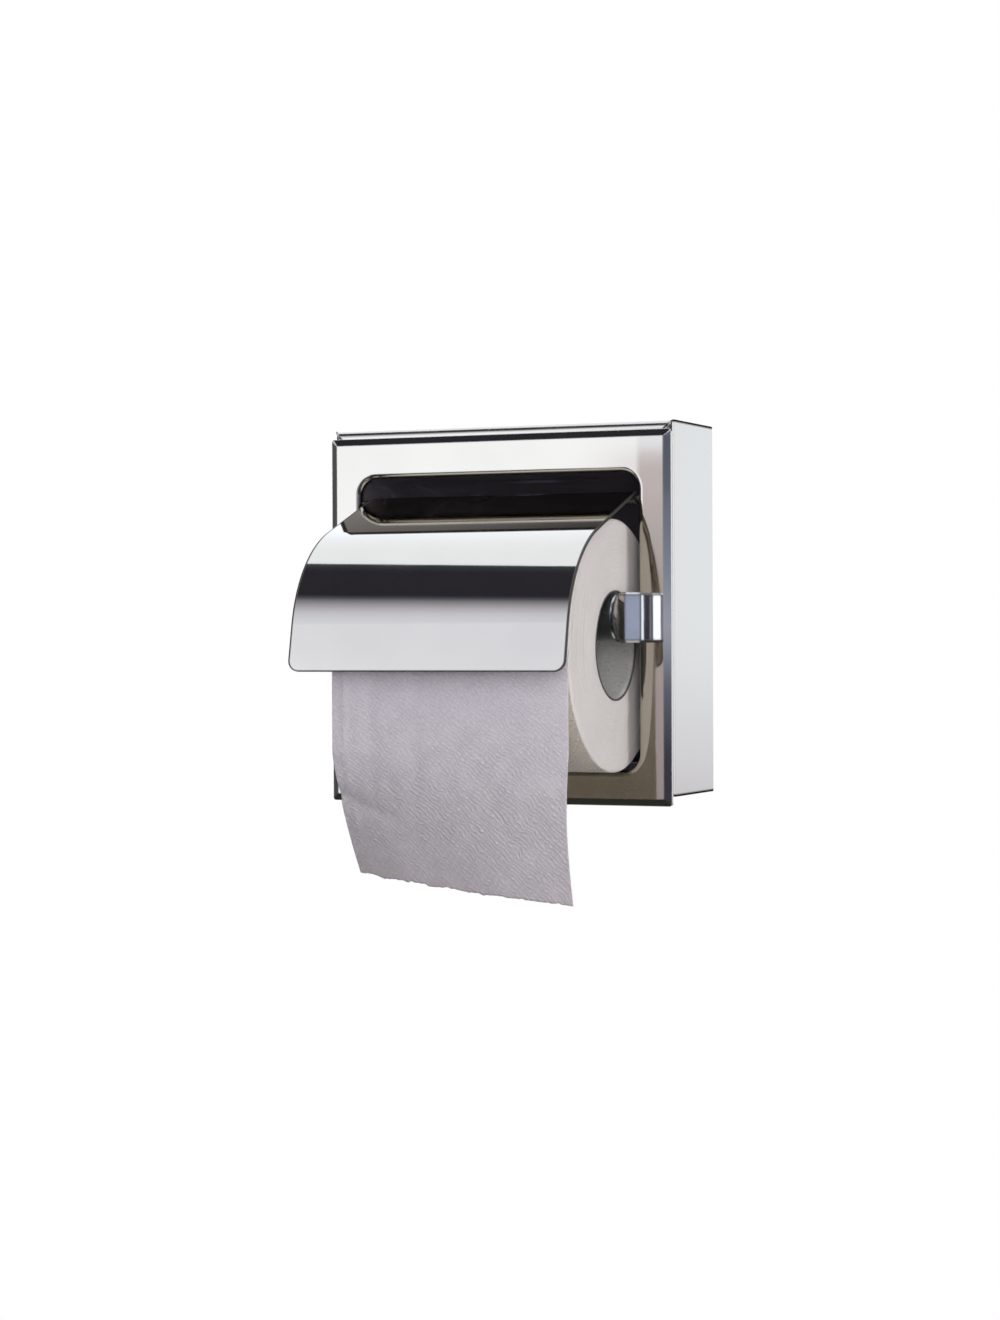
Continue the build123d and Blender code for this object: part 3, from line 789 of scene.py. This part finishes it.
def card(name, points, faces, axis, stops, fade=None):
    """Glowing card seen by glossy rays alone; its colours run along one axis, as they look in the steel.

    With a fade it comes out of the white surroundings between two places along X.
    """
    tree = blank(name)
    spot = axes(tree, place(tree))
    colour = ramp(tree, spot[axis], stops)
    if fade:
        colour = blend(tree, spread(tree, spot["X"], 0.0, 1.0, *fade), (*SURROUND, 1.0), colour)
    glow = node(tree, "ShaderNodeVectorMath", {0: colour, 1: UNDO_STEEL}, operation="MULTIPLY")
    shader = node(tree, "ShaderNodeEmission", {"Color": glow.outputs["Vector"], "Strength": 1.0})
    output(tree, shader.outputs["Emission"])
    made = stage_object(name, points, faces)
    for kind in UNSEEN:
        setattr(made, f"visible_{kind}", False)
    return made


def flat_card(name, half_width, height, stops):
    """Level card whose colours run along Y."""
    low, high = stops[0][0], stops[-1][0]
    points = [(-half_width, low, height), (half_width, low, height)]
    points += [(half_width, high, height), (-half_width, high, height)]
    return card(name, points, [(0, 1, 2, 3)], "Y", stops)


def arc_card(name, from_azimuth, to_azimuth, stops, fade=None):
    """Upright card bent round the object; azimuths are degrees to the right of straight in front."""
    points = []
    faces = []
    for step in range(ARC_STEPS + 1):
        azimuth = radians(from_azimuth + (to_azimuth - from_azimuth) * step / ARC_STEPS)
        for z in (stops[0][0], stops[-1][0]):
            points.append((CARD_DISTANCE * sin(azimuth), -CARD_DISTANCE * cos(azimuth), z))
        if step:
            last = 2 * step
            faces.append((last - 2, last, last + 1, last - 1))
    card(name, points, faces, "Z", stops, fade)


def dome(name, rings, segments, stops):
    """White surroundings beyond the cards, brightest at the horizon."""
    distance = stops[-1][0]
    points = [(0, 0, -distance), (0, 0, distance)]
    faces = []
    for ring in range(1, rings):
        rise = pi * ring / rings - pi / 2
        for segment in range(segments):
            turn = 2 * pi * segment / segments
            flat = distance * cos(rise)
            points.append((flat * cos(turn), flat * sin(turn), distance * sin(rise)))
    for segment in range(segments):
        beside = (segment + 1) % segments
        for ring in range(rings - 2):
            low = 2 + ring * segments
            faces.append((low + segment, low + beside, low + segments + beside, low + segments + segment))
        top = 2 + (rings - 2) * segments
        faces.append((0, 2 + beside, 2 + segment))
        faces.append((1, top + segment, top + beside))
    card(name, points, faces, "Z", stops)


# Overhead card: its Y runs to the front and left, from dark above the hood to pale further out
OVERHEAD_HEIGHT = 1.5
OVERHEAD_TURN = radians(141.05)
overhead = flat_card("card_overhead", half_width=2.5, height=OVERHEAD_HEIGHT, stops=[
    (0.66, (0.034, 0.042, 0.044)), (0.85, (0.021, 0.019, 0.023)), (1.66, (0.019, 0.018, 0.022)),
    (1.80, (0.070, 0.070, 0.075)), (1.92, (0.17, 0.165, 0.17)), (2.12, (0.29, 0.28, 0.29)),
    (2.40, (0.42, 0.41, 0.43)), (2.75, (0.53, 0.52, 0.55)), (3.70, (0.66, 0.66, 0.69)),
    (4.40, (0.71, 0.70, 0.72)),
])
overhead.rotation_euler.z = OVERHEAD_TURN

arc_card("card_right", 7, 50, [
    (-0.90, (0.02, 0.02, 0.025)), (-0.16, (0.040, 0.038, 0.050)), (-0.07, (0.11, 0.12, 0.15)),
    (0.00, (0.32, 0.33, 0.39)), (0.07, (0.20, 0.22, 0.27)), (0.20, (0.11, 0.12, 0.15)),
    (0.90, (0.05, 0.055, 0.07)),
])
arc_card("card_far_right", 50, 100, [
    (-0.90, (0.02, 0.02, 0.025)), (0.00, (0.050, 0.047, 0.070)), (0.90, (0.04, 0.04, 0.05)),
])
arc_card("card_left", -102, -50, [
    (-0.80, (0.05, 0.05, 0.055)), (0.80, (0.080, 0.080, 0.085)),
])
arc_card("card_front", -21.2, 7, [
    (-1.00, (0.07, 0.06, 0.045)), (-0.36, (0.12, 0.10, 0.075)), (-0.24, (0.29, 0.245, 0.245)),
    (-0.09, (0.34, 0.285, 0.28)), (0.05, (0.38, 0.31, 0.265)), (0.12, (0.42, 0.38, 0.37)),
    (0.19, (0.50, 0.44, 0.425)), (0.30, (0.50, 0.44, 0.42)), (0.36, (0.57, 0.53, 0.53)),
    (0.41, (0.72, 0.71, 0.72)), (0.46, (0.86, 0.855, 0.855)), (0.54, SURROUND),
], fade=(-0.94, -0.72))
flat_card("card_below", half_width=2.2, height=-0.6, stops=[
    (-3.20, (0.05, 0.045, 0.035)), (-0.25, (0.02, 0.02, 0.018)),
])
arc_card("card_back", 120, 192, [
    (-1.70, (0.03, 0.03, 0.03)), (-0.44, (0.03, 0.03, 0.03)), (-0.34, (0.40, 0.37, 0.36)),
    (-0.17, (0.58, 0.56, 0.55)), (-0.02, (0.673, 0.68, 0.66)), (0.36, (0.673, 0.68, 0.66)),
    (0.46, (0.03, 0.03, 0.03)), (1.70, (0.03, 0.03, 0.03)),
])
dome("card_dome", rings=24, segments=48, stops=[
    (-6.0, (0.55, 0.54, 0.53)), (-0.6, (0.80, 0.79, 0.78)), (0.0, SURROUND),
    (2.5, (0.86, 0.86, 0.86)), (5.0, (0.80, 0.81, 0.805)), (6.0, (0.78, 0.79, 0.785)),
])


# Floor: grey for the light that it gives back to the part, and white where it is seen

FLOOR_HALF = 6
FLOOR_DROP = 0.66
FLOOR_LUMPS = 3.0
floor_tree = blank("floor")
floor_patches = spread(floor_tree, cloud(floor_tree, FLOOR_LUMPS), 0.0, 1.0)
pale = blend(floor_tree, floor_patches, grey(0.50), grey(0.54))
matt = node(floor_tree, "ShaderNodeBsdfDiffuse", {"Color": pale, "Roughness": 0.5}).outputs["BSDF"]
white = node(floor_tree, "ShaderNodeEmission", {"Color": grey(1.0), "Strength": 1.0}).outputs["Emission"]
output(floor_tree, either(floor_tree, seen_directly(floor_tree), matt, white))
floor_corners = [(x * FLOOR_HALF, y * FLOOR_HALF, 0) for x, y in ((-1, -1), (1, -1), (1, 1), (-1, 1))]
stage_object("floor", floor_corners, [(0, 1, 2, 3)]).location.z = -FLOOR_DROP


# Lamps and sky

def lamp(name, place_at, aim, width, power, tint):
    """Soft square lamp that leaves no mark in the metal."""
    data = bpy.data.lights.new(name, "AREA")
    data.size = width
    data.energy = power
    data.color = tint
    made = add_object(name, data)
    made.location = place_at
    made.rotation_euler = (Vector(aim) - Vector(place_at)).to_track_quat("-Z", "Y").to_euler()
    made.visible_glossy = False


COOL_LIGHT = (0.99, 0.98, 1.0)
WARM_LIGHT = (1.0, 0.98, 0.96)
lamp("lamp_right", (1.7, -0.5, 0.25), (0, -0.06, -0.02), width=0.9, power=12.5, tint=WARM_LIGHT)
lamp("lamp_front", (0.66, -1.63, 1.14), (0, -0.06, -0.05), width=1.4, power=9.5, tint=COOL_LIGHT)
lamp("lamp_low", (0.90, -1.80, 0.12), (0, -0.06, -0.05), width=0.8, power=13.5, tint=COOL_LIGHT)

SKY_LIGHT = (0.24, 0.235, 0.25, 1)
world = bpy.data.worlds.new("studio")
scene = bpy.context.scene
scene.world = world
world.use_nodes = True
sky = world.node_tree
sky.nodes.clear()
sky_colour = blend(sky, seen_directly(sky), SKY_LIGHT, grey(1.0))
sky_shader = node(sky, "ShaderNodeBackground", {"Color": sky_colour, "Strength": 1.0})
node(sky, "ShaderNodeOutputWorld", {"Surface": sky_shader.outputs["Background"]})
scene.view_settings.view_transform = "Standard"


# Camera at the photograph's place

AZIMUTH = radians(23.491)
ELEVATION = radians(0.415)
TWIST = radians(-0.249)
CAMERA_PLACE = (0.48517, -1.16571, -0.01251)
LENS = 78.39
SENSOR_WIDTH = 36.0
back = Vector((sin(AZIMUTH) * cos(ELEVATION), -cos(AZIMUTH) * cos(ELEVATION), sin(ELEVATION)))
right = Vector((cos(AZIMUTH), sin(AZIMUTH), 0))
up = back.cross(right)
turned_right = right * cos(TWIST) + up * sin(TWIST)
turned_up = up * cos(TWIST) - right * sin(TWIST)
rotation = Matrix((turned_right, turned_up, back)).transposed()
camera_data = bpy.data.cameras.new("camera")
camera_data.lens = LENS
camera_data.sensor_width = SENSOR_WIDTH
camera = add_object("camera", camera_data)
camera.matrix_world = Matrix.Translation(CAMERA_PLACE) @ rotation.to_4x4()
scene.camera = camera
